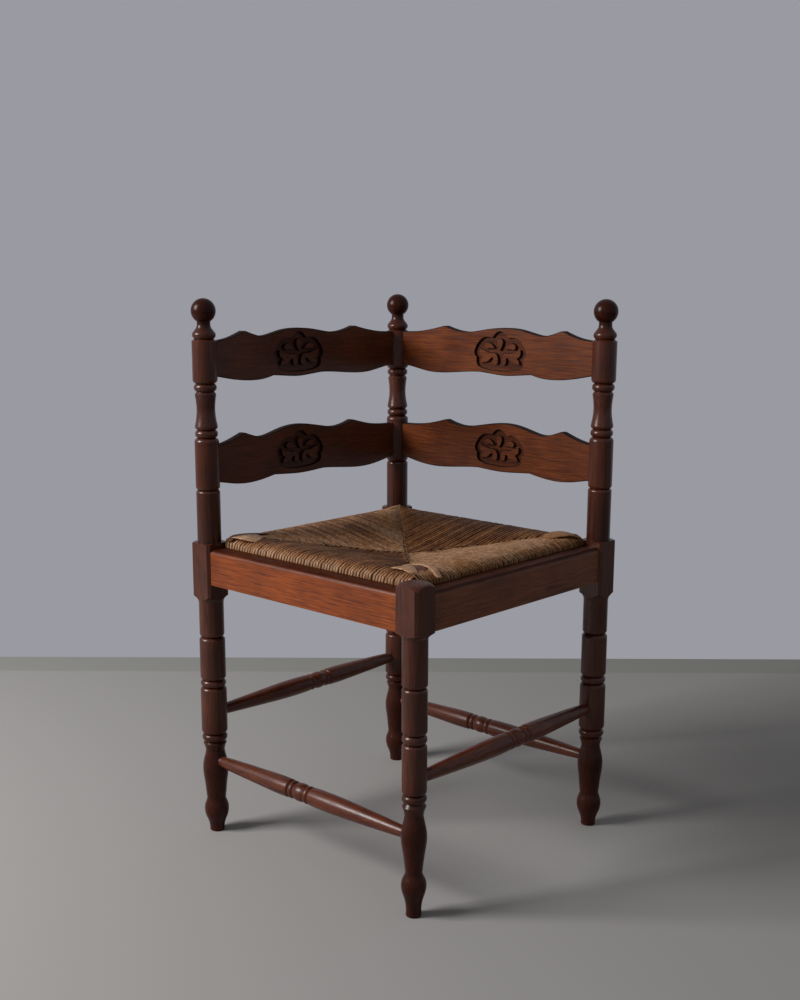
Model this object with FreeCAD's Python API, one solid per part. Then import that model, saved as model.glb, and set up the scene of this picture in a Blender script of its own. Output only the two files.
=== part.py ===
"""Corner chair: four turned posts on a square plan, a low back of four waved slats on two
sides, a drop-in rush seat and four turned stretchers. Millimetres, +Z up, standing on z = 0.

The front post is at (-, -), the left at (-, +), the right at (+, -) and the back at (+, +).
"""
import FreeCAD
import Part
import math
import os
from FreeCAD import Vector

# Plan: distance between the axes of neighbouring posts
POST_SPACING = 405.0
HALF = POST_SPACING / 2

# Square block that the seat rails are jointed into
BLOCK_SIDE = 39.0
BLOCK_CHAMFER = 3.4
BLOCK_REACH = 25.7
TALL_BLOCK_BOTTOM = 360.0
TALL_BLOCK_TOP = 451.0
FRONT_BLOCK_BOTTOM = 383.5
FRONT_BLOCK_TOP = 457.5
TALL_SHOULDER = 11.0
FRONT_SHOULDER = 7.0

# Domed top of the front block: (distance from the axis, drop) along its profile
DOME_MIDDLE = (8.0, 0.35)
DOME_EDGE = (16.0, 1.4)
DOME_SHOULDER = (21.8, 4.2)
DOME_CORNER_DROP = 9.0

# Turned ball on top of the tall posts
BALL_RADIUS = 17.7
BALL_CENTRE = 783.4
BALL_NECK = 9.6

# Seat rails: heights, thickness from the outer face, and the rebate that carries the seat
RAIL_BOTTOM = 391.0
RAIL_TOP = 443.5
RAIL_OUTER = 15.5
RAIL_INNER = 19.5
RAIL_EDGE_ROUND = 7.0
REBATE_OFFSET = 11.0
REBATE_DEPTH = 16.0
TENON_THICKNESS = 10.0
TENON_OFFSET = -2.0
TENON_END = 4.5
TENON_SHOULDER = 6.0

# Drop-in seat: wrapped outline, and the wooden frame inside it
SEAT_SIDE = 381.0
SEAT_CLIP = 13.0
SEAT_TOP = 458.0
SEAT_BOTTOM = RAIL_TOP - REBATE_DEPTH
RUSH_WRAP = 4.5
RIM_ROUND = 14.0
HEM_ROUND = 4.0
DISH_HALF = 158.0
DISH_LOWEST = 433.0
BELLY_HALF = 138.0
BELLY_LOWEST = 420.5
SEAT_RAIL_WIDTH = 40.0
SEAT_RAIL_ROUND = 6.0
SEAT_TENON_LENGTH = 20.0
SEAT_TENON_THICKNESS = 8.0
SEAT_TENON_WIDTH = 28.0

# Slats: thickness on each side of the post axes, and where they end inside the posts
SLAT_INNER = 5.5
SLAT_OUTER = 6.5
SLAT_END = 6.8

# Top and bottom edge of each slat: (distance from the outer post's axis, height)
SLAT_EDGES = {
    "upper": {
        "top": [
            [(0, 741), (17.5, 741), (45, 744.6), (60, 749.2), (70, 753)],
            [(74, 753), (88, 748.4), (104, 745), (124, 747.2), (150, 752.6), (175, 754.3),
             (203, 752.8), (230, 748.6), (254, 746), (280, 748.8), (298, 753.6)],
            [(302, 753.6), (322, 749), (346, 744.8), (387.5, 742), (405, 742)],
        ],
        "bottom": [
            [(0, 690), (17.5, 690), (48, 684.6), (86, 680.8), (108, 681.8), (127, 685.8)],
            [(127, 685.8), (150, 683.8), (180, 682), (206, 683.8), (228, 685.4)],
            [(228, 685.4), (262, 683.4), (305, 680), (330, 680.4), (360, 685), (387.5, 689.5),
             (405, 692)],
        ],
    },
    "lower": {
        "top": [
            [(0, 591.5), (17.5, 591.5), (42, 596.2), (56, 601), (66, 604.8)],
            [(70, 604.8), (84, 600), (100.5, 596.6), (122, 599.6), (148, 606), (173, 608.7),
             (202, 606.6), (230, 601.8), (253, 598.7), (276, 601), (293, 605.8)],
            [(297, 605.8), (318, 600.4), (344, 595.4), (387.5, 592.5), (405, 592.5)],
        ],
        "bottom": [
            [(0, 539), (17.5, 537), (48, 531.4), (77, 529.6), (104, 532.2), (126, 536.2)],
            [(126, 536.2), (154, 534.2), (184, 533), (208, 534), (228, 535.4)],
            [(228, 535.4), (268, 532), (316, 528.6), (345, 530.6), (370, 535), (387.5, 538.5),
             (405, 541)],
        ],
    },
}

# Stretchers: height of each axis, and the bead group's distance from the nearer front end
STRETCHER_HEIGHT = {
    "front_left": 113.5,
    "back_right": 109.5,
    "back_left": 189.0,
    "front_right": 191.5,
}
BEADS_FROM_NEAR_END = 214.5
STRETCHER_TENON = 8.0
STRETCHER_SHOULDER = 19.0
STRETCHER_END = 5.0

# Sides of the square: the turn about the centre from the front right side, and the mirroring
SIDES = {
    "front_right": (0, False),
    "back_right": (90, False),
    "back_left": (180, True),
    "front_left": (270, True),
}


class Turning:
    """Half outline of a turned piece, drawn upwards from its axis, which is Z."""

    def __init__(self, radius, height):
        self.start = Vector(0, 0, height)
        self.end = Vector(radius, 0, height)
        self.edges = [Part.makeLine(self.start, self.end)]

    def line(self, radius, height):
        """Straight stretch to a radius and height."""
        target = Vector(radius, 0, height)
        self.edges.append(Part.makeLine(self.end, target))
        self.end = target

    def arc(self, middle_radius, middle_height, radius, height):
        """Round stretch through a middle point."""
        target = Vector(radius, 0, height)
        middle = Vector(middle_radius, 0, middle_height)
        self.edges.append(Part.Arc(self.end, middle, target).toShape())
        self.end = target

    def curve(self, points):
        """Smooth stretch through (radius, height) points."""
        places = [self.end] + [Vector(radius, 0, height) for radius, height in points]
        spline = Part.BSplineCurve()
        spline.interpolate(places)
        self.edges.append(spline.toShape())
        self.end = places[-1]

    def bead(self, groove_radius, height, radius):
        """Half-round ring that ends in the next groove."""
        self.arc(radius, (self.end.z + height) / 2, groove_radius, height)

    def barrel_start(self, radius, rounding):
        """Rounded lower end of a barrel, out of a groove."""
        low = self.end
        middle_radius = radius - 0.3 * (radius - low.x)
        self.arc(middle_radius, low.z + 0.35 * rounding, radius, low.z + rounding)

    def barrel_end(self, groove_radius, height, rounding):
        """Straight side and rounded upper end of a barrel, into a groove."""
        radius = self.end.x
        self.line(radius, height - rounding)
        middle_radius = radius - 0.3 * (radius - groove_radius)
        self.arc(middle_radius, height - 0.35 * rounding, groove_radius, height)

    def solid(self):
        """The outline closed along the axis and turned."""
        if self.end.x > 0:
            self.line(0, self.end.z)
        self.edges.append(Part.makeLine(self.end, self.start))
        outline = Part.Wire(Part.__sortEdges__(self.edges))
        return Part.Face(outline).revolve(Vector(0, 0, 0), Vector(0, 0, 1), 360)


def box(x_range, y_range, z_range):
    """Box between two values on each axis."""
    corner = Vector(x_range[0], y_range[0], z_range[0])
    size = [high - low for low, high in (x_range, y_range, z_range)]
    return Part.makeBox(size[0], size[1], size[2], corner)


def clipped_square(side, clip, low, high):
    """Square prism with its four upright corners cut off."""
    half = side / 2
    near = half - clip
    corners = [(half, -near), (half, near), (near, half), (-near, half),
               (-half, near), (-half, -near), (-near, -half), (near, -half)]
    points = [Vector(x, y, low) for x, y in corners]
    return Part.Face(Part.makePolygon(points + points[:1])).extrude(Vector(0, 0, high - low))


def pyramid(half, base_height, apex_height):
    """Square pyramid, upright or upside down."""
    base = [Vector(x, y, base_height) for x, y in
            ((-half, -half), (half, -half), (half, half), (-half, half))]
    apex = Vector(0, 0, apex_height)
    faces = [Part.Face(Part.makePolygon(base + base[:1]))]
    for index in range(4):
        ring = [base[index], base[(index + 1) % 4], apex, base[index]]
        faces.append(Part.Face(Part.makePolygon(ring)))
    solid = Part.Solid(Part.Shell(faces))
    solid.fix(0.01, 0.01, 0.01)
    return solid


def on_side(shape, side):
    """Move a piece built along the front right side to its own side of the square."""
    turn, mirrored = SIDES[side]
    if mirrored:
        shape = shape.mirror(Vector(0, 0, 0), Vector(1, 0, 0))
    placed = shape.copy()
    placed.rotate(Vector(0, 0, 0), Vector(0, 0, 1), turn)
    return placed


def rounded_at(body, height, radius):
    """Round the edges of a body that lie at a height."""
    edges = [line for line in body.Edges
             if abs(line.BoundBox.ZMin - height) < 0.01 and abs(line.BoundBox.ZMax - height) < 0.01]
    return body.makeFillet(radius, edges)


def post_block(bottom, top, shoulder, neck_radius, domed=False):
    """Square block of a post, with the turned shoulders that bound it."""
    prism = clipped_square(BLOCK_SIDE, BLOCK_CHAMFER, bottom, top)
    bound = Turning(neck_radius, bottom)
    bound.arc(neck_radius + 2.4, bottom + 0.62 * shoulder, BLOCK_REACH, bottom + shoulder)
    if domed:
        bound.line(BLOCK_REACH, top - DOME_CORNER_DROP)
        bound.arc(DOME_SHOULDER[0], top - DOME_SHOULDER[1], DOME_EDGE[0], top - DOME_EDGE[1])
        bound.arc(DOME_MIDDLE[0], top - DOME_MIDDLE[1], 0, top)
    else:
        bound.line(BLOCK_REACH, top - 1.6)
        bound.line(BLOCK_REACH - 3.4, top)
    return prism.common(bound.solid())


def tall_post():
    """Left, right and back post: foot, vase, two barrels, block, upper turning and ball."""
    low = Turning(10.0, 0)
    low.line(11.0, 1.2)
    low.curve([(11.3, 8), (13.2, 16), (16.4, 24), (18.4, 36.5), (17.4, 43), (15.2, 49),
               (14.2, 53.5)])
    low.curve([(15.0, 60), (17.0, 80), (18.5, 91), (19.1, 103), (17.4, 115), (15.1, 124),
               (14.1, 130)])
    low.curve([(15.2, 135.5), (17.4, 141.5)])
    low.line(14.0, 144.8)
    low.bead(14.4, 157, 18.8)
    low.barrel_start(19.4, 5)
    low.barrel_end(14.8, 230, 5)
    low.bead(14.8, 241.5, 18.8)
    low.barrel_start(19.0, 5)
    low.barrel_end(13.8, 307.5, 5)
    low.barrel_start(18.3, 5)
    low.line(18.3, TALL_BLOCK_BOTTOM + TALL_SHOULDER)

    high = Turning(17.4, TALL_BLOCK_TOP - 10)
    high.barrel_end(13.8, 528, 4)
    high.barrel_start(17.6, 5)
    high.barrel_end(12.4, 603.4, 5)
    high.bead(12.4, 615.2, 16.5)
    high.arc(15.5, 617, 16.4, 620.3)
    high.curve([(15.6, 624), (13.7, 636), (13.3, 644), (13.9, 655), (15.4, 666)])
    high.line(12.6, 669.8)
    high.bead(12.6, 681.3, 16.4)
    high.barrel_start(17.8, 5)
    high.line(17.8, 741.4)
    high.line(13.6, 744.5)
    high.bead(14.7, 754.5, 16.8)
    high.line(12.8, 757)
    high.curve([(10.6, 760), (BALL_NECK, 764)])
    ball_start = BALL_CENTRE - math.sqrt(BALL_RADIUS ** 2 - BALL_NECK ** 2)
    high.line(BALL_NECK, ball_start)
    high.arc(BALL_RADIUS, BALL_CENTRE, 0, BALL_CENTRE + BALL_RADIUS)

    block = post_block(TALL_BLOCK_BOTTOM, TALL_BLOCK_TOP, TALL_SHOULDER, 18.3)
    return low.solid().fuse([block, high.solid()]).removeSplitter()


def front_post():
    """Front post: a slimmer turning of its own, which ends at the domed seat block."""
    low = Turning(9.8, 0)
    low.line(10.7, 1.2)
    low.curve([(10.8, 15), (12.5, 24), (15.7, 34), (17.1, 44.8), (15.6, 52), (12.6, 58.5),
               (11.5, 62.5)])
    low.curve([(12.4, 71), (14.6, 88), (16.6, 101), (17.5, 113.2), (16.2, 125), (13.8, 136),
               (12.7, 142.9)])
    low.curve([(13.8, 149), (16.1, 156)])
    low.line(12.8, 161)
    low.bead(12.8, 172.7, 16.7)
    low.barrel_start(16.7, 5)
    low.barrel_end(13.0, 241.9, 5)
    low.bead(13.0, 254.9, 16.7)
    low.barrel_start(16.9, 5)
    low.barrel_end(12.8, 318, 5)
    low.barrel_start(17.1, 5)
    low.line(17.1, FRONT_BLOCK_BOTTOM + FRONT_SHOULDER)
    block = post_block(FRONT_BLOCK_BOTTOM, FRONT_BLOCK_TOP, FRONT_SHOULDER, 17.1, domed=True)
    return low.solid().fuse(block).removeSplitter()


def seat_rail():
    """Rail between two blocks, with a rounded outer edge, a rebate and two tenons."""
    length = HALF - BLOCK_SIDE / 2
    body = box((-length, length), (-HALF - RAIL_OUTER, -HALF + RAIL_INNER),
               (RAIL_BOTTOM, RAIL_TOP))
    edge = [line for line in body.Edges
            if line.BoundBox.YMax < -HALF - RAIL_OUTER + 0.01
            and line.BoundBox.ZMin > RAIL_TOP - 0.01]
    body = body.makeFillet(RAIL_EDGE_ROUND, edge)
    body = body.cut(box((-length, length), (-HALF + REBATE_OFFSET, -HALF + RAIL_INNER),
                        (RAIL_TOP - REBATE_DEPTH, RAIL_TOP)))
    reach = HALF - TENON_END
    middle = -HALF + TENON_OFFSET
    tenon = box((-reach, reach), (middle - TENON_THICKNESS / 2, middle + TENON_THICKNESS / 2),
                (RAIL_BOTTOM + TENON_SHOULDER, RAIL_TOP - TENON_SHOULDER))
    return body.fuse(tenon).removeSplitter()


def slat(name):
    """Waved back slat with both ends let into the posts; it starts at the outer post."""
    edges = []
    for stretches in (SLAT_EDGES[name]["top"], SLAT_EDGES[name]["bottom"]):
        last = None
        for stretch in stretches:
            places = [Vector(u - HALF, 0, height) for u, height in stretch]
            if last and last.distanceToPoint(places[0]) > 0.01:
                edges.append(Part.makeLine(last, places[0]))
            spline = Part.BSplineCurve()
            spline.interpolate(places)
            edges.append(spline.toShape())
            last = places[-1]
    for end in (0, -1):
        u, high = SLAT_EDGES[name]["top"][end][end]
        low = SLAT_EDGES[name]["bottom"][end][end][1]
        edges.append(Part.makeLine(Vector(u - HALF, 0, low), Vector(u - HALF, 0, high)))
    board = Part.Face(Part.Wire(Part.__sortEdges__(edges)))
    board.translate(Vector(0, -HALF - SLAT_OUTER, 0))
    board = board.extrude(Vector(0, SLAT_OUTER + SLAT_INNER, 0))
    reach = HALF - SLAT_END
    return board.common(box((-reach, reach), (-HALF - BLOCK_SIDE, -HALF + BLOCK_SIDE),
                            (TALL_BLOCK_TOP, BALL_CENTRE)))


def stretcher(height):
    """Turned stretcher with a ball between two small beads near its middle."""
    beads = BEADS_FROM_NEAR_END
    turning = Turning(STRETCHER_TENON, STRETCHER_END)
    turning.line(STRETCHER_TENON, STRETCHER_SHOULDER)
    turning.curve([(9.3, 44), (10.9, 80), (12.8, 126), (13.5, 156), (13.0, beads - 25)])
    turning.arc(12.4, beads - 22, 10.6, beads - 20)
    turning.bead(10.8, beads - 11, 12.9)
    turning.bead(10.8, beads + 11, 13.2)
    turning.bead(10.6, beads + 20, 12.9)
    turning.arc(12.7, beads + 22, 13.4, beads + 25)
    turning.curve([(13.6, 254), (12.8, 283), (11.2, 325), (9.6, 362), (STRETCHER_TENON, 386)])
    turning.line(STRETCHER_TENON, POST_SPACING - STRETCHER_END)
    solid = turning.solid()
    solid.rotate(Vector(0, 0, 0), Vector(0, 1, 0), 90)
    solid.translate(Vector(-HALF, -HALF, height))
    return solid


def seat_frame_rails():
    """Wooden frame inside the rush: two long rails and two short ones tenoned into them."""
    half = SEAT_SIDE / 2 - RUSH_WRAP
    inner = half - SEAT_RAIL_WIDTH
    low = SEAT_BOTTOM + RUSH_WRAP
    high = SEAT_TOP - RUSH_WRAP - 0.5
    clip = SEAT_CLIP - RUSH_WRAP * (2 - math.sqrt(2))
    outline = rounded_at(clipped_square(2 * half, clip, low, high), high, SEAT_RAIL_ROUND)
    middle = (low + high) / 2
    rails = {}
    for side, sign in (("front_left", -1), ("back_right", 1)):
        span = sorted((sign * inner, sign * half))
        rails[side] = box(span, (-half, half), (low, high)).common(outline)
    for side, sign in (("front_right", -1), ("back_left", 1)):
        span = sorted((sign * inner, sign * half))
        centre = sign * (inner + half) / 2
        body = box((-inner, inner), span, (low, high)).common(outline)
        tenon = box((-inner - SEAT_TENON_LENGTH, inner + SEAT_TENON_LENGTH),
                    (centre - SEAT_TENON_WIDTH / 2, centre + SEAT_TENON_WIDTH / 2),
                    (middle - SEAT_TENON_THICKNESS / 2, middle + SEAT_TENON_THICKNESS / 2))
        rails[side] = body.fuse(tenon).removeSplitter()
    for side in ("front_left", "back_right"):
        rails[side] = rails[side].cut([rails["front_right"], rails["back_left"]])
    return rails


def rush_seat(rails):
    """Woven rush with its stuffing: rounded rim, four triangles that dip to the middle."""
    body = clipped_square(SEAT_SIDE, SEAT_CLIP, SEAT_BOTTOM, SEAT_TOP)
    body = rounded_at(body, SEAT_TOP, RIM_ROUND)
    body = rounded_at(body, SEAT_BOTTOM, HEM_ROUND)
    body = body.cut(pyramid(DISH_HALF, SEAT_TOP, DISH_LOWEST))
    body = body.fuse(pyramid(BELLY_HALF, SEAT_BOTTOM, BELLY_LOWEST)).removeSplitter()
    return body.cut(list(rails.values()))


def build():
    """All pieces by node name, with the joints cut into the posts."""
    pieces = {}
    for side in SIDES:
        pieces["seat_rail_" + side] = on_side(seat_rail(), side)
        pieces["stretcher_" + side] = on_side(stretcher(STRETCHER_HEIGHT[side]), side)
    for name in SLAT_EDGES:
        pieces[name + "_slat_right"] = on_side(slat(name), "back_right")
        pieces[name + "_slat_left"] = on_side(slat(name), "back_left")

    corners = {"front": (-1, -1), "left": (-1, 1), "right": (1, -1), "back": (1, 1)}
    members = list(pieces.values())
    for name, (x_sign, y_sign) in corners.items():
        post = front_post() if name == "front" else tall_post()
        post.translate(Vector(x_sign * HALF, y_sign * HALF, 0))
        pieces[name + "_post"] = post.cut(members)

    rails = seat_frame_rails()
    for side, rail in rails.items():
        pieces["seat_frame_" + side] = rail
    pieces["rush_seat"] = rush_seat(rails)
    return pieces


os.makedirs("parts", exist_ok=True)
for node, shape in build().items():
    solid = shape.Solids[0] if len(shape.Solids) == 1 else shape
    print(node, "solids", len(shape.Solids), "valid", shape.isValid(), "cm3",
          round(shape.Volume / 1000, 1))
    solid.exportStep("parts/" + node + ".step")
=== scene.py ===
import math
import random

import bpy
from mathutils import Matrix, Vector


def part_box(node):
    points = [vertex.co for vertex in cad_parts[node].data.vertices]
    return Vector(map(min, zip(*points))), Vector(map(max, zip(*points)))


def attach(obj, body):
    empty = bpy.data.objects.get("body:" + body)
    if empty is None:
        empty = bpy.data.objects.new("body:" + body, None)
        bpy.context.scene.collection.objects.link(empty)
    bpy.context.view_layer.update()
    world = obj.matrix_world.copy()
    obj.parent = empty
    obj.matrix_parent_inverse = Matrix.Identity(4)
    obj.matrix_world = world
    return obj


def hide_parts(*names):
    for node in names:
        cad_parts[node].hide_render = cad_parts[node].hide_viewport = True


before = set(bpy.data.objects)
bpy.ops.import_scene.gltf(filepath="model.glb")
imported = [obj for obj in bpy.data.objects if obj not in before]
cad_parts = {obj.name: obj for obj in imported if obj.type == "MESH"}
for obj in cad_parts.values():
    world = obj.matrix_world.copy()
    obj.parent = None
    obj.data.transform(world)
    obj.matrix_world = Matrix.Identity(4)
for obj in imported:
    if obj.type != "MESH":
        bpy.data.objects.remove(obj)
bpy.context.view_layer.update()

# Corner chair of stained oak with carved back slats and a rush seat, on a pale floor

random.seed(7)

MM = 0.001
# Half the distance between the posts' axes, the corners of the rush solid's box, and half its
# width
POST_HALF = 202.5 * MM
SEAT_LOW, SEAT_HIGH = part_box("rush_seat")
SEAT_HALF = SEAT_HIGH.x

# Meshes are welded at this distance before they are worked on
WELD = 0.01 * MM

# Rush cords by side: how many, how pale on top, by how much they differ, how much paler they
# are round the rim, which is wear and painted light, with painted shade where it is below
# nought, on the side turned from the window, and how much paler they are at their ends, darker
# where below nought
CORDS = {"front_left": 65, "front_right": 65, "back_right": 63, "back_left": 63}
PALENESS = {"front_left": 0.26, "front_right": 0.66, "back_right": 0.28, "back_left": 0.36}
TONE_SPREAD = {"front_left": 0.1, "front_right": 0.07, "back_right": 0.15, "back_left": 0.22}
RIM_WEAR_AND_LIGHT = {"front_left": 0.45, "front_right": -0.1, "back_right": 0.1, "back_left": 0.1}
END_TONE = {"front_left": -0.1, "front_right": 0, "back_right": 0.05, "back_left": 0.36}
END_TONE_WIDTH = 70 * MM

# Cords press into each other, their width in shares of their distance, and lie a little
# unevenly: sideways, in height and, in degrees, turned
CROWDING = 1.06
UNEVEN_ACROSS = 0.25 * MM
UNEVEN_HEIGHT = 0.6 * MM
UNEVEN_TURN = 0.2

# Rim: how high and how deep it is rounded, how far it bulges over the rails' edge, how far the
# cords lie flat after it, and how its hem is rounded below
RIM_ROUND = 15.5 * MM
RIM_DEPTH = 27 * MM
RIM_BULGE = 4 * MM
RIM_FLAT = 4 * MM
HEM_ROUND = 2.5 * MM
# Cords start to bulge this far below the top of the rails
BULGE_START = 1 * MM

# Cords rise towards the seat's corners, which are clipped to clear the posts' blocks
CORNER_LIFT = 3 * MM
CORNER_REACH = 40 * MM
CORNER_CLIP = 8 * MM

# Top of the rails, top of the rim and its hem, the sag on top and the belly below
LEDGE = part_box("seat_rail_front_left")[1].z
RIM_TOP = SEAT_HIGH.z
HEM = RIM_TOP - 30.5 * MM
SAG_LOWEST = RIM_TOP - 29 * MM
SAG_HALF = 144 * MM
SAG_POWER = 1.1
BELLY_LOWEST = SEAT_LOW.z
BELLY_HALF = 138 * MM
# Where a cord's points on top lie, from the middle; it runs past the middle, and the mitre
# takes off what is too much
PAST_MIDDLE = 8 * MM
TOP_POINTS = (140 * MM, 100 * MM, 60 * MM, 25 * MM, -PAST_MIDDLE)

# At the diagonals the cords of two sides lie over the others. A cord is cut off at some
# distance past the diagonal, and its end dives by a drop over a length
LYING_OVER = ("front_right", "back_left")
CUT_OVER, CUT_UNDER = (2 * MM, 6 * MM), (0, 2 * MM)
DIVE_OVER, DIVE_UNDER = 7 * MM, 8 * MM
DROP_OVER, DROP_UNDER = 2.4 * MM, 3 * MM
# Towards its end, a cord that lies over gets narrower, by a share, and more painted shade on its
# flanks
TAPER = 30 * MM
NARROWING = 0.24
FLANK_SHADE = 0.35

# Leaves that cross the cords, and the waste rush under the cords
LEAF_THICKNESS = 2.2 * MM
PACKING_INSET = 4.5 * MM
PACKING_ROUND = 9 * MM

# Slats: the rounding of their edges, and their face towards the seat, from the post axes
EDGE_ROUND = 1.2 * MM
SLAT_FACE = 5.5 * MM
# Carving: its depth, the rim cut round it, with its width in millimetres and its depth in
# metres, and the middle and size of each palmette
CARVING_DEPTH = 4 * MM
CARVING_RIM = 1.0
CARVING_RIM_DEPTH = 0.5 * MM
# Facets this close to the rim's floor belong to it
AT_RIM = 0.2 * MM
CARVING_HEIGHT = {"upper": 718 * MM, "lower": 569.5 * MM}
CARVING_ACROSS = {"upper_right": 187.5 * MM, "lower_right": 185.5 * MM,
                  "upper_left": 179 * MM, "lower_left": 179 * MM}
CARVING_SIZE = {"upper": 1.0, "lower": 0.96}

# Right half of the sunk field, from its top lobe round to the bottom, in millimetres
FIELD = [(0, 30.2), (5.8, 28.6), (10.8, 24.8), (14.2, 20.9), (20.4, 21.5), (27.5, 21.3),
         (33.8, 19.2), (39.5, 14.9), (44, 9.8), (47.4, 4.5), (49.2, -1.5), (47.8, -6.5),
         (44.6, -9.5), (44.9, -15), (43.3, -20.5), (39.4, -23.8), (33, -25.7), (22, -27.5),
         (8, -28.3), (0, -28.5)]
FIELD_CORNERS = [(14.2, 20.9), (44.6, -9.5), (39.4, -23.8)]
# Right half of the teardrop and the two leaves on the right, left standing in the field
TEARDROP = [(0, 20.2), (4.4, 19.2), (6.4, 15.6), (5.6, 10.8), (3.2, 5.6), (0, 1.2)]
UPPER_LEAF = [(9.5, 4.8), (13, 9.4), (18, 12.8), (23.5, 14), (28.6, 12.4), (31, 8.4),
              (29.4, 4.8), (20, 4.2)]
UPPER_CORNERS = [(9.5, 4.8)]
LOWER_LEAF = [(2.6, -13.6), (3.8, -7.4), (7.6, -2.6), (13, -1.4), (20, -1.2), (30, 1.2),
              (39.8, 4.4), (40.6, -1.2), (38, -6.2), (33, -9), (37, -12.6), (38.6, -18),
              (30, -17.6), (22.6, -15.6), (16.6, -10.4), (12.2, -8.6), (12.6, -13.2),
              (11.4, -18), (7, -19.9), (3.6, -18.2)]
LOWER_CORNERS = [(39.8, 4.4), (33, -9), (38.6, -18), (12.2, -8.6)]

# Photograph's viewpoint and lens, in millimetres and shares of the frame's width
CAMERA_PLACE = (-1.4086, -1.2817, 0.8478)
CAMERA_YAW = math.radians(42.501)
CAMERA_PITCH = math.radians(12.242)
CAMERA_ROLL = math.radians(0.196)
LENS = 47.53
SENSOR_WIDTH = 36
SHIFT_ACROSS, SHIFT_UP = -0.0004, 0.0512

# Room: the floor, which changes tone along the foot of the wall, at these distances from the
# camera, and the window as a lamp, with its size in metres and its power in watts
FLOOR_WIDTH = 12
FLOOR_LENGTH = 8
SKIRTING_DISTANCE = 2.694
WALL_DISTANCE = 2.796
WINDOW_PLACE = (-2.15, 1.35, 1.8)
WINDOW_AIM = (0, 0, 0.4)
WINDOW_WIDTH, WINDOW_HEIGHT = 1.0, 1.2
WINDOW_POWER = 80
WINDOW_COLOUR = (1, 0.985, 0.97)


# Workshop helpers

def select_only(*pieces):
    """Leave just these pieces selected, the first one active."""
    bpy.ops.object.select_all(action="DESELECT")
    for piece in pieces:
        piece.select_set(True)
    bpy.context.view_layer.objects.active = pieces[0]


def finish_with(piece, kind, **settings):
    """Add a modifier and apply it."""
    select_only(piece)
    modifier = piece.modifiers.new(kind.title(), kind)
    for name, value in settings.items():
        setattr(modifier, name, value)
    bpy.ops.object.modifier_apply(modifier=modifier.name)


def new_piece(name, mesh):
    """Object for a mesh, in the scene."""
    piece = bpy.data.objects.new(name, mesh)
    bpy.context.scene.collection.objects.link(piece)
    return piece


# Colours and materials

def from_hex(colour):
    """sRGB hex colour turned to linear."""
    parts = [int(colour[i:i + 2], 16) / 255 for i in (1, 3, 5)]
    return (*[p / 12.92 if p <= 0.04045 else ((p + 0.055) / 1.055) ** 2.4 for p in parts], 1.0)


def add_node(tree, kind, inputs=None, stops=(), **settings):
    """Add a node with its settings; an input is an output to link, or a value."""
    node = tree.nodes.new(kind)
    for name, value in settings.items():
        setattr(node, name, value)
    for index, (place, colour) in enumerate(stops):
        elements = node.color_ramp.elements
        element = elements[index] if index < len(elements) else elements.new(place)
        element.position = place
        element.color = from_hex(colour)
    for name, value in (inputs or {}).items():
        if isinstance(value, bpy.types.NodeSocket):
            tree.links.new(value, node.inputs[name])
        else:
            node.inputs[name].default_value = value
    return node


def blank_material(name):
    """Material with its surface shader only."""
    material = bpy.data.materials.new(name)
    material.use_nodes = True
    tree = material.node_tree
    tree.nodes.clear()
    surface = add_node(tree, "ShaderNodeBsdfPrincipled")
    add_node(tree, "ShaderNodeOutputMaterial", {"Surface": surface.outputs["BSDF"]})
    return material, tree, surface


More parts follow.
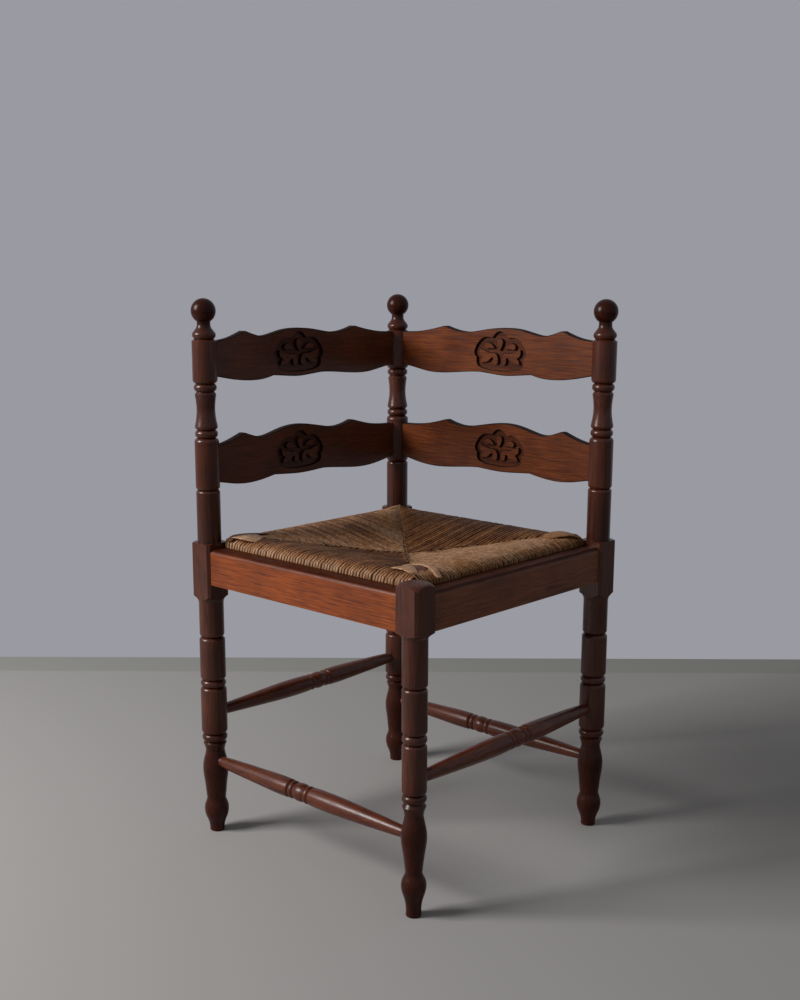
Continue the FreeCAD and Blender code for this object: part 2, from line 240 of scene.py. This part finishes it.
def stained_oak(name, along, dark, light, polish, by_height=((0, "#ffffff"),), sheen=0.5,
                hollow="#6e6460"):
    """Oak, turned or sawn, stained red-brown and polished: the eye sees streaks and open pores
    that run along the piece, stain and painted shade lying dark in hollows, a darkening by
    height in metres that is stain on the posts and painted shade on the rails, and a soft sheen
    that this darkening dulls too."""
    material, tree, surface = blank_material(name)
    place = add_node(tree, "ShaderNodeTexCoord").outputs["Object"]

    # Growth streaks about 3 mm apart, from noise with 1.2 mm cells, and pores 0.8 mm wide,
    # both about 45 times as long as wide
    drawn_out = add_node(tree, "ShaderNodeMapping",
                         {"Vector": place,
                          "Scale": [1 / 45 if axis == along else 1 for axis in "XYZ"]})
    streaks = add_node(tree, "ShaderNodeTexNoise",
                       {"Vector": drawn_out.outputs["Vector"], "Scale": 1 / (1.2 * MM),
                        "Detail": 2, "Roughness": 0.6})
    pores = add_node(tree, "ShaderNodeTexNoise",
                     {"Vector": drawn_out.outputs["Vector"], "Scale": 1 / (0.8 * MM),
                      "Detail": 2})
    # Uneven stain in patches of about 60 mm
    patches = add_node(tree, "ShaderNodeTexNoise",
                       {"Vector": place, "Scale": 1 / (60 * MM), "Detail": 3})
    # Hollows are darker by their pointiness: stain, and painted shade
    hollows = add_node(tree, "ShaderNodeNewGeometry")
    height = add_node(tree, "ShaderNodeSeparateXYZ", {"Vector": place})
    # Darker by height: stain in the posts' feet and balls, painted shade on top of the rails,
    # with the sheen dulled there as well
    stain_and_shade_by_height = add_node(tree, "ShaderNodeValToRGB", {"Fac": height.outputs["Z"]}, by_height)
    shine = add_node(tree, "ShaderNodeMath", {0: stain_and_shade_by_height.outputs["Color"], 1: sheen},
                     operation="MULTIPLY")

    colour = add_node(tree, "ShaderNodeValToRGB", {"Fac": streaks.outputs["Fac"]},
                      [(0.33, dark), (0.67, light)]).outputs["Color"]
    shades = [add_node(tree, "ShaderNodeValToRGB", {"Fac": cause}, stops)
              for cause, stops in (
                  (pores.outputs["Fac"], [(0.36, "#a89a90"), (0.46, "#ffffff")]),
                  (patches.outputs["Fac"], [(0.3, "#d8d2cc"), (0.65, "#ffffff")]),
                  (hollows.outputs["Pointiness"], [(0.42, hollow), (0.5, "#ffffff")]))]
    for shade in shades + [stain_and_shade_by_height]:
        colour = add_node(tree, "ShaderNodeMix", {0: 1.0, 6: colour, 7: shade.outputs["Color"]},
                          data_type="RGBA", blend_type="MULTIPLY").outputs[2]
    gloss = add_node(tree, "ShaderNodeMapRange",
                     {"Value": pores.outputs["Fac"], "From Min": 0.3, "From Max": 0.5,
                      "To Min": polish + 0.2, "To Max": polish})
    relief = add_node(tree, "ShaderNodeBump",
                      {"Height": pores.outputs["Fac"], "Strength": 0.2, "Distance": 0.2 * MM})
    for socket, output in (("Base Color", colour), ("Roughness", gloss.outputs["Result"]),
                           ("Specular IOR Level", shine.outputs["Value"]),
                           ("Normal", relief.outputs["Normal"])):
        tree.links.new(output, surface.inputs[socket])
    surface.inputs["IOR"].default_value = 1.43
    return material


def bare_beech(name):
    """Beech, sawn and left bare under the rush: pale, fine and matt."""
    material, tree, surface = blank_material(name)
    place = add_node(tree, "ShaderNodeTexCoord").outputs["Object"]
    # Fine flecks about 3 mm apart
    flecks = add_node(tree, "ShaderNodeTexNoise",
                      {"Vector": place, "Scale": 1 / (3 * MM), "Detail": 3})
    colour = add_node(tree, "ShaderNodeValToRGB", {"Fac": flecks.outputs["Fac"]},
                      [(0.3, "#8f6f4a"), (0.7, "#b08d62")])
    tree.links.new(colour.outputs["Color"], surface.inputs["Base Color"])
    surface.inputs["Roughness"].default_value = 0.75
    return material


def twisted_rush(name, along, lay, dark, light):
    """Rush leaves, dried and twisted by hand into cord: each cord has its own tone from straw
    to brown, with satin fibres and twist marks that lie along it at a slant, in degrees."""
    material, tree, surface = blank_material(name)
    place = add_node(tree, "ShaderNodeTexCoord").outputs["Object"]
    # Fibres 0.9 mm wide and twist marks about 4 mm apart, from noise with 2 mm cells, both 6
    # times as long as wide on top and up the rim, and turned off the cord's line
    laid = add_node(tree, "ShaderNodeMapping",
                    {"Vector": place, "Rotation": (0, 0, math.radians(lay)),
                     "Scale": (6, 1, 6) if along == "X" else (1, 6, 6)}, vector_type="TEXTURE")
    fibres = add_node(tree, "ShaderNodeTexNoise",
                      {"Vector": laid.outputs["Vector"], "Scale": 1 / (0.9 * MM),
                       "Detail": 3})
    twist = add_node(tree, "ShaderNodeTexNoise",
                     {"Vector": laid.outputs["Vector"], "Scale": 1 / (2 * MM), "Detail": 2})
    # Patches of wear about 40 mm across
    patches = add_node(tree, "ShaderNodeTexNoise",
                       {"Vector": place, "Scale": 1 / (40 * MM), "Detail": 3})
    cord = add_node(tree, "ShaderNodeAttribute", attribute_name="cord_tone")
    # The cords' flanks, down into the gaps between them, are darkened by their crest: painted
    # shade; they have less sheen there too
    crest = add_node(tree, "ShaderNodeAttribute", attribute_name="cord_crest")
    shine = add_node(tree, "ShaderNodeMath", {0: crest.outputs["Fac"], 1: 0.65},
                     operation="MULTIPLY", use_clamp=True)
    tone = add_node(tree, "ShaderNodeMath",
                    {0: patches.outputs["Fac"], 1: 0.6, 2: cord.outputs["Fac"]},
                    operation="MULTIPLY_ADD")
    colour = add_node(tree, "ShaderNodeValToRGB", {"Fac": tone.outputs["Value"]},
                      [(0.42, dark), (0.8, light), (1, "#cfa480")]).outputs["Color"]
    for cause, stops in ((fibres.outputs["Fac"], [(0.32, "#c0b6ac"), (0.6, "#ffffff")]),
                         (twist.outputs["Fac"], [(0.38, "#c4bab0"), (0.58, "#ffffff")]),
                         (crest.outputs["Fac"], [(0, "#20140e"), (0.62, "#ffffff")])):
        shade = add_node(tree, "ShaderNodeValToRGB", {"Fac": cause}, stops)
        colour = add_node(tree, "ShaderNodeMix", {0: 1.0, 6: colour, 7: shade.outputs["Color"]},
                          data_type="RGBA", blend_type="MULTIPLY").outputs[2]
    relief = add_node(tree, "ShaderNodeBump",
                      {"Height": fibres.outputs["Fac"], "Strength": 0.4, "Distance": 0.3 * MM})
    for socket, output in (("Base Color", colour), ("Normal", relief.outputs["Normal"]),
                           ("Specular IOR Level", shine.outputs["Value"])):
        tree.links.new(output, surface.inputs[socket])
    surface.inputs["Roughness"].default_value = 0.5
    surface.inputs["IOR"].default_value = 1.36
    return material


def floor_paint(name, colour):
    """Matt floor paint, even and pale."""
    material, tree, surface = blank_material(name)
    surface.inputs["Base Color"].default_value = from_hex(colour)
    surface.inputs["Roughness"].default_value = 0.8
    return material


# Stain has collected in the feet and in the end grain of the balls
POST_OAK = stained_oak("stained_oak_posts", "Z", "#442013", "#5f2e1b", 0.24,
                       [(0.12, "#c8b4a8"), (0.2, "#ffffff"), (0.745, "#ffffff"),
                        (0.77, "#b8a498")])
# The rails' tops, under the seat's rim, are darker and duller: painted shade. The rails along X,
# the front-right one turned from the window, get darker, greyer colours than those along Y:
# painted shade too
RAIL_OAK = {axis: stained_oak("stained_oak_rails_" + axis.lower(), axis, dark, light, 0.38,
                              [(0.4392, "#ffffff"), (0.4418, "#7a665c")], sheen)
            for axis, dark, light, sheen in (("X", "#6a371c", "#884b28", 0.5),
                                             ("Y", "#76340f", "#a24f19", 0.44))}
STRETCHER_OAK = {axis: stained_oak("stained_oak_stretchers_" + axis.lower(), axis, "#4c220f",
                                   "#74381f", 0.3) for axis in "XY"}
# The left slats, whose faces turn from the window, get darker, greyer colours and more sheen
# than the right: painted shade
SLAT_OAK = {axis: stained_oak("stained_oak_slats_" + axis.lower(), axis, dark, light, 0.26,
                              sheen=sheen, hollow="#c8bca8")
            for axis, dark, light, sheen in (("X", "#4e2616", "#6c3920", 0.5),
                                             ("Y", "#5a2a15", "#804525", 0.33))}
# Slats' edges and the carving's walls and rim: dark stain and painted shade, with little sheen
DARK_EDGES = stained_oak("oak_slat_edges_stain_and_painted_shade", "Z", "#1c0c06", "#2b150c", 0.6, sheen=0.15)
BEECH = bare_beech("bare_beech")
RUSH = {side: twisted_rush("twisted_rush_" + side, along, lay, dark, light)
        for side, along, lay, dark, light in (("front_left", "X", 14, "#744729", "#c89066"),
                                              ("back_right", "X", 14, "#7c4b28", "#cc9058"),
                                              ("front_right", "Y", 20, "#784828", "#b37d4c"),
                                              ("back_left", "Y", -14, "#7b4f2f", "#d09a6c"))}
# The packing's dark colours are painted shade in the gaps between the cords
UNDERLAY = twisted_rush("packed_rush", "X", 0, "#40291a", "#573a24")


# Carved slats

def outline(curve, points, corners, grow):
    """Closed smooth outline on a flat curve, sharp at its corners and grown from its middle."""
    spline = curve.splines.new("BEZIER")
    spline.bezier_points.add(len(points) - 1)
    spline.use_cyclic_u = True
    middle = sum((Vector(point) for point in points), Vector((0, 0))) / len(points)
    for knot, point in zip(spline.bezier_points, points):
        place = Vector(point) + grow * (Vector(point) - middle).normalized()
        knot.co = (place.x * MM, place.y * MM, 0)
        knot.handle_left_type = knot.handle_right_type = "VECTOR" if point in corners else "AUTO"


def mirrored(points):
    """The same points on the left half of the palmette."""
    return [(-x, z) for x, z in points]


def waste(name, size, depth, rim):
    """What the carver cuts away: the field without its teardrop and four leaves, with a rim of
    so many millimetres more."""
    curve = bpy.data.curves.new(name, "CURVE")
    curve.dimensions = "2D"
    curve.fill_mode = "BOTH"
    curve.resolution_u = 5
    outline(curve, FIELD + mirrored(FIELD)[-2:0:-1], FIELD_CORNERS + mirrored(FIELD_CORNERS),
            rim)
    outline(curve, TEARDROP + mirrored(TEARDROP)[-2:0:-1], [TEARDROP[-1]], -rim)
    for leaf, corners in ((UPPER_LEAF, UPPER_CORNERS), (LOWER_LEAF, LOWER_CORNERS)):
        outline(curve, leaf, corners, -rim)
        outline(curve, mirrored(leaf), mirrored(corners), -rim)
    curve.extrude = depth / size
    piece = new_piece(name, curve)
    select_only(piece)
    bpy.ops.object.convert(target="MESH")
    piece = bpy.context.object
    piece.data.transform(Matrix.Scale(size, 4))
    finish_with(piece, "WELD", merge_threshold=WELD)
    select_only(piece)
    bpy.ops.object.mode_set(mode="EDIT")
    bpy.ops.mesh.select_all(action="SELECT")
    bpy.ops.mesh.normals_make_consistent(inside=False)
    bpy.ops.object.mode_set(mode="OBJECT")
    return piece


def carved_slat(level, side):
    """Waved slat with the palmette cut into its face towards the seat."""
    node = level + "_slat_" + side
    slat = new_piece("carved_" + node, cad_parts[node].data.copy())
    finish_with(slat, "WELD", merge_threshold=WELD)
    select_only(slat)
    bpy.ops.mesh.customdata_custom_splitnormals_clear()
    finish_with(slat, "DECIMATE", decimate_type="DISSOLVE", angle_limit=math.radians(0.5))

    slat.data.materials.clear()
    slat.data.materials.append(SLAT_OAK["Y" if side == "right" else "X"])
    slat.data.materials.append(DARK_EDGES)
    finish_with(slat, "BEVEL", width=EDGE_ROUND, segments=3, limit_method="ANGLE",
                angle_limit=math.radians(50), material=1)

    across = CARVING_ACROSS[level + "_" + side] - POST_HALF
    face = POST_HALF - SLAT_FACE
    upright = Matrix.Rotation(math.radians(90), 4, "X")
    if side == "right":
        upright = Matrix.Rotation(math.radians(90), 4, "Z") @ upright
        middle = (face, across, CARVING_HEIGHT[level])
    else:
        middle = (across, face, CARVING_HEIGHT[level])
    for depth, rim in ((CARVING_DEPTH, 0), (CARVING_RIM_DEPTH, CARVING_RIM)):
        cut = waste("waste_" + node, CARVING_SIZE[level], depth, rim)
        cut.data.transform(Matrix.Translation(middle) @ upright)
        finish_with(slat, "BOOLEAN", operation="DIFFERENCE", object=cut, solver="EXACT")
        bpy.data.objects.remove(cut)
    # The board's edges, the walls of the carving and its rim are darker: stain, and painted
    # shade
    through = 0 if side == "right" else 1
    for facet in slat.data.polygons:
        sunk = face + CARVING_RIM_DEPTH - facet.center[through]
        if abs(facet.normal[through]) < 0.5 or abs(sunk) < AT_RIM:
            facet.material_index = 1
    bpy.ops.object.shade_smooth_by_angle(angle=math.radians(45))
    finish_with(slat, "WEIGHTED_NORMAL", keep_sharp=True)
    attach(slat, "frame")
    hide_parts(node)


# Rush seat

def sag(reach):
    """Top of the rush at a distance from the middle of the seat, square to the rail."""
    return SAG_LOWEST + (RIM_TOP - SAG_LOWEST) * min(1, abs(reach) / SAG_HALF) ** SAG_POWER


def belly(reach):
    """Underside of the rush at a distance from the middle."""
    return BELLY_LOWEST + (HEM - BELLY_LOWEST) * min(1, abs(reach) / BELLY_HALF)


def rush_cord(radius):
    """One cord from the middle below, out round the seat's edge, and back to the middle on
    top."""
    bpy.ops.curve.primitive_nurbs_path_add(location=(0, 0, 0))
    cord = bpy.context.object
    edge = SEAT_HALF - radius
    below = [(reach, belly(reach) + radius) for reach in (-PAST_MIDDLE, BELLY_HALF)]
    rim = RIM_TOP - radius
    inwards, upwards = RIM_DEPTH - radius, RIM_ROUND - radius
    # Corners of the outline drawn round a quarter of an ellipse at the rim, in three steps
    half_step = math.pi / 12
    bend = [(inwards * (math.cos(angle) / math.cos(half_step) - 1),
             upwards * (math.sin(angle) / math.cos(half_step) - 1))
            for angle in (half_step, 3 * half_step, 5 * half_step)]
    around = [(edge - HEM_ROUND, HEM + radius), (edge, HEM + radius + HEM_ROUND),
              (edge, LEDGE - BULGE_START)]
    around += [(edge + RIM_BULGE + out, rim + up) for out, up in bend]
    around += [(edge + RIM_BULGE - inwards - RIM_FLAT, rim)]
    above = [(reach, sag(reach) - radius) for reach in TOP_POINTS]
    route = below + around + above
    spline = cord.data.splines[0]
    spline.points.add(len(route) - len(spline.points))
    for point, (reach, height) in zip(spline.points, route):
        point.co = (0, -reach, height, 1)
    spline.order_u = 3
    spline.use_endpoint_u = True
    cord.data.resolution_u = 1
    cord.data.bevel_depth = radius
    cord.data.bevel_resolution = 1
    select_only(cord)
    bpy.ops.object.convert(target="MESH")
    cord = bpy.context.object
    # Crest: 1 on top of the cord, 0 at its flanks; the rush darkens the flanks by it, painted
    # shade in the gaps
    crest = cord.data.attributes.new("cord_crest", "FLOAT", "POINT")
    crest.data.foreach_set("value", [1 - abs(vertex.co.x) / radius
                                     for vertex in cord.data.vertices])
    return cord


def mitre(cord, over, axis):
    """Cut a cord off near both diagonals of the seat, past them, where it lies over the next
    side's cords, or at them. Its ends are drawn down; those that lie over are thinner too, with
    more painted shade on their flanks."""
    cut = CUT_OVER if over else CUT_UNDER
    dive, drop = (DIVE_OVER, DROP_OVER) if over else (DIVE_UNDER, DROP_UNDER)
    select_only(cord)
    bpy.ops.object.mode_set(mode="EDIT")
    for side in (1, -1):
        past = random.uniform(*cut)
        for place, cut_off in ((past - TAPER, False), (past - dive, False), (past, True)):
            bpy.ops.mesh.select_all(action="SELECT")
            bpy.ops.mesh.bisect(plane_co=(0, place, 0), plane_no=(side, 1, 0),
                                use_fill=cut_off, clear_outer=cut_off)
    bpy.ops.object.mode_set(mode="OBJECT")
    middle = (RIM_TOP + HEM) / 2
    end = cut[1]
    crest = cord.data.attributes["cord_crest"].data
    for vertex in cord.data.vertices:
        gap = end - vertex.co.y - abs(vertex.co.x)
        inward = min(1, max(0, (SEAT_HALF + vertex.co.y - RIM_ROUND) / RIM_ROUND))
        if gap < end + dive:
            pull = drop * inward * (1 - gap / (end + dive))
            vertex.co.z += -pull if vertex.co.z > middle else pull
        if over and gap < TAPER:
            share = 1 - gap / TAPER
            vertex.co.x += NARROWING * share * (axis - vertex.co.x)
            # More painted shade on the flanks towards the end
            flank = 1 - crest[vertex.index].value
            crest[vertex.index].value = 1 - flank * (1 + FLANK_SHADE * share)


def paint_tone(piece, paleness, rim_wear_and_light, end_tone):
    """Give a cord or leaf its tone, from dark to pale, with the change round the rim, which is
    wear and painted light and shade, and near the diagonals."""
    tone = piece.data.attributes.new("cord_tone", "FLOAT", "POINT")
    tones = []
    for vertex in piece.data.vertices:
        across, out = sorted((abs(vertex.co.x), abs(vertex.co.y)))
        at_rim = min(1, max(0, (out - SEAT_HALF) / RIM_ROUND + 1))
        at_end = min(1, max(0, 1 - (out - across) / END_TONE_WIDTH))
        # Round the rim: wear, and painted light and shade
        tones.append(paleness + rim_wear_and_light * at_rim + end_tone * at_end * (1 - at_rim))
    tone.data.foreach_set("value", tones)


def rush_triangle(side, turn):
    """One side's cords, next to each other, from the rail to the diagonals."""
    span = 2 * (SEAT_HALF - CORNER_CLIP)
    pitch = span / CORDS[side]
    master = rush_cord(pitch / 2 * CROWDING)
    spread = TONE_SPREAD[side]
    cords = []
    for index in range(CORDS[side]):
        cord = new_piece("rush_cord", master.data.copy())
        across = (-span / 2 + (index + 0.5) * pitch
                  + random.uniform(-UNEVEN_ACROSS, UNEVEN_ACROSS))
        lift = CORNER_LIFT * max(0, 1 - (span / 2 - abs(across)) / CORNER_REACH)
        turned = random.uniform(-UNEVEN_TURN, UNEVEN_TURN)
        place = (across, 0, lift - random.uniform(0, UNEVEN_HEIGHT))
        cord.data.transform(Matrix.Translation(place)
                            @ Matrix.Rotation(math.radians(turned), 4, "Z"))
        mitre(cord, side in LYING_OVER, across)
        paint_tone(cord, PALENESS[side] + random.uniform(-spread, spread), RIM_WEAR_AND_LIGHT[side],
                   END_TONE[side])
        cords.append(cord)
    bpy.data.objects.remove(master)
    select_only(*cords)
    bpy.ops.object.join()
    cords = bpy.context.object
    cords.name = "rush_" + side
    cords.data.transform(Matrix.Rotation(math.radians(turn), 4, "Z"))
    bpy.ops.object.shade_smooth_by_angle(angle=math.radians(65))
    cords.data.materials.clear()
    cords.data.materials.append(RUSH[side])
    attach(cords, "seat")
    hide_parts("rush_seat")


def crossing_leaf(name, width, paleness, route, widths):
    """Flat leaf of rush laid over the cords at a corner; route and widths go from its one end
    to the other, in millimetres above the rim and in shares of its width."""
    bpy.ops.curve.primitive_nurbs_path_add(location=(0, 0, 0))
    leaf = bpy.context.object
    leaf.name = name
    spline = leaf.data.splines[0]
    spline.points.add(len(route) - len(spline.points))
    for point, (x, y, above), share in zip(spline.points, route, widths):
        point.co = (x * MM, y * MM, RIM_TOP + above * MM, 1)
        point.tilt = math.radians(90)
        point.radius = share
    spline.order_u = 3
    spline.use_endpoint_u = True
    leaf.data.twist_mode = "Z_UP"
    leaf.data.resolution_u = 4
    leaf.data.extrude = width / 2 * MM
    leaf.data.bevel_depth = LEAF_THICKNESS / 2
    leaf.data.bevel_resolution = 1
    leaf.data.use_fill_caps = True
    select_only(leaf)
    bpy.ops.object.convert(target="MESH")
    leaf = bpy.context.object
    crest = leaf.data.attributes.new("cord_crest", "FLOAT", "POINT")
    crest.data.foreach_set("value", [1] * len(leaf.data.vertices))
    paint_tone(leaf, paleness, 0, 0)
    bpy.ops.object.shade_smooth_by_angle(angle=math.radians(60))
    leaf.data.materials.append(RUSH["front_right"])
    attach(leaf, "seat")


def corner_leaves():
    """Leaves that lie across the cords at the front, left and right corners."""
    crossing_leaf("front_leaf_broad", 26, 0.95,
                  [(-153, -127, -2), (-156, -138, 1), (-161, -152, 1.8), (-168, -167, 1),
                   (-176, -177, -2), (-181, -182, -6)], (0.85, 1, 0.75, 0.45, 0.3, 0.25))
    crossing_leaf("front_leaf_slim", 8, 0.9,
                  [(-141, -125, -2.5), (-131, -133, -0.5), (-127, -147, 1), (-132, -164, 1.8),
                   (-139, -181, 0), (-143, -191, -8)], (0.5, 1, 1, 1, 1, 0.8))
    crossing_leaf("front_leaf_under", 20, 0.05,
                  [(-139, -132, -1.5), (-142, -142, 0), (-145, -153, 0.6), (-148, -162, 0.4),
                   (-151, -170, -1)], (0.6, 1, 1, 0.8, 0.5))
    crossing_leaf("left_leaf", 44, 0.95,
                  [(-184, 182, -4), (-181, 175, 1), (-175, 163, 2.2), (-168, 150, 1.4),
                   (-161, 138, -1.5)], (0.15, 0.35, 0.65, 1, 0.8))
    # A dark leaf along the top of the left corner, where the rim lies in shade: painted shade
    crossing_leaf("left_leaf_painted_shade", 9, -0.3,
                  [(-192, 170, -4), (-184, 174, 1.4), (-168, 172, 2), (-150, 165, 1.6),
                   (-128, 160, -0.2)], (0.7, 1, 1, 1, 0.6))
    crossing_leaf("right_leaf", 34, 0.5,
                  [(126, -157, -2), (142, -159, 0.8), (158, -163, 2), (172, -169, 1.8),
                   (182, -176, -2.5)], (0.2, 0.7, 1, 0.95, 0.8))


def packed_rush():
    """Waste rush packed between the layers of cord, coloured dark as painted shade in the gaps
    between them.
    """
    width = 2 * (SEAT_HALF - PACKING_INSET)
    middle = (RIM_TOP + HEM) / 2
    bpy.ops.mesh.primitive_cube_add(size=1, location=(0, 0, middle),
                                    scale=(width, width, RIM_TOP - HEM - 2 * PACKING_INSET))
    packing = bpy.context.object
    packing.name = "packed_rush"
    bpy.ops.object.transform_apply(location=True, rotation=True, scale=True)
    bpy.ops.object.mode_set(mode="EDIT")
    bpy.ops.mesh.select_all(action="SELECT")
    bpy.ops.mesh.poke()
    bpy.ops.object.mode_set(mode="OBJECT")
    for vertex in packing.data.vertices:
        if max(abs(vertex.co.x), abs(vertex.co.y)) < MM:
            on_top = vertex.co.z > middle
            vertex.co.z = (SAG_LOWEST - PACKING_INSET if on_top
                           else BELLY_LOWEST + PACKING_INSET)
    finish_with(packing, "BEVEL", width=PACKING_ROUND, segments=2, limit_method="ANGLE",
                angle_limit=math.radians(60))
    bpy.ops.object.shade_smooth_by_angle(angle=math.radians(60))
    packing.data.materials.append(UNDERLAY)
    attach(packing, "seat")


# Finish of the pieces that stay as they are

def finish_frame():
    """Oak on posts, rails and stretchers, bare beech on the frame inside the seat."""
    for node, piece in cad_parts.items():
        along = "X" if node.endswith(("front_right", "back_left")) else "Y"
        finish = POST_OAK if node.endswith("_post") else RAIL_OAK[along]
        if node.startswith("stretcher"):
            finish = STRETCHER_OAK[along]
        if node.startswith("seat_frame"):
            finish = BEECH
        for slot in piece.material_slots:
            slot.material = finish


# Room

def floor():
    """Pale floor, with a duller strip along the foot of the wall behind the chair."""
    forward = Vector((math.cos(CAMERA_YAW), math.sin(CAMERA_YAW), 0))
    stand = Vector((CAMERA_PLACE[0], CAMERA_PLACE[1], 0))
    for name, near, far, colour in (
            ("floor", SKIRTING_DISTANCE - FLOOR_LENGTH, SKIRTING_DISTANCE, "#a8a6a5"),
            ("floor_edge", SKIRTING_DISTANCE, WALL_DISTANCE, "#9b9b97")):
        bpy.ops.mesh.primitive_plane_add(size=1, location=stand + forward * (near + far) / 2,
                                         rotation=(0, 0, CAMERA_YAW))
        plane = bpy.context.object
        plane.name = name
        plane.scale = (far - near, FLOOR_WIDTH, 1)
        bpy.ops.object.transform_apply(location=True, rotation=True, scale=True)
        plane.data.materials.append(floor_paint("pale_paint_" + name, colour))


def room_light():
    """Large soft window on the left, a weak sky, and the grey wall behind."""
    lamp = bpy.data.lights.new("window", "AREA")
    lamp.shape = "RECTANGLE"
    lamp.size, lamp.size_y = WINDOW_WIDTH, WINDOW_HEIGHT
    lamp.energy = WINDOW_POWER
    lamp.color = WINDOW_COLOUR
    window = bpy.data.objects.new("window", lamp)
    window.location = WINDOW_PLACE
    window.rotation_euler = (Vector(WINDOW_AIM) - window.location).to_track_quat(
        "-Z", "Y").to_euler()
    bpy.context.scene.collection.objects.link(window)

    world = bpy.data.worlds.new("room")
    bpy.context.scene.world = world
    world.use_nodes = True
    tree = world.node_tree
    tree.nodes.clear()
    rays = add_node(tree, "ShaderNodeLightPath")
    seen = add_node(tree, "ShaderNodeMath", {0: rays.outputs["Is Camera Ray"],
                                             1: rays.outputs["Is Glossy Ray"]},
                    operation="MAXIMUM")
    seen = add_node(tree, "ShaderNodeMath", {0: seen.outputs["Value"],
                                             1: rays.outputs["Is Transmission Ray"]},
                    operation="MAXIMUM")
    sky = add_node(tree, "ShaderNodeBackground", {"Color": from_hex("#e3e3e2"),
                                                  "Strength": 0.22})
    wall = add_node(tree, "ShaderNodeBackground", {"Color": from_hex("#9a9ba2"),
                                                   "Strength": 1})
    mix = add_node(tree, "ShaderNodeMixShader",
                   {0: seen.outputs["Value"], 1: sky.outputs["Background"],
                    2: wall.outputs["Background"]})
    add_node(tree, "ShaderNodeOutputWorld", {"Surface": mix.outputs["Shader"]})


def camera():
    """Camera where the photograph was taken from."""
    lens = bpy.data.cameras.new("photograph")
    lens.lens = LENS
    lens.sensor_width = SENSOR_WIDTH
    lens.shift_x, lens.shift_y = SHIFT_ACROSS, SHIFT_UP
    view = bpy.data.objects.new("photograph", lens)
    view.matrix_world = (Matrix.Translation(CAMERA_PLACE)
                         @ Matrix.Rotation(CAMERA_YAW - math.pi / 2, 4, "Z")
                         @ Matrix.Rotation(math.pi / 2 - CAMERA_PITCH, 4, "X")
                         @ Matrix.Rotation(CAMERA_ROLL, 4, "Z"))
    bpy.context.scene.collection.objects.link(view)
    bpy.context.scene.camera = view


camera()
finish_frame()
for level in ("upper", "lower"):
    for side in ("left", "right"):
        carved_slat(level, side)
packed_rush()
for side, turn in (("front_right", 0), ("back_right", 90), ("back_left", 180),
                   ("front_left", 270)):
    rush_triangle(side, turn)
corner_leaves()
floor()
room_light()
bpy.context.scene.view_settings.view_transform = "Standard"
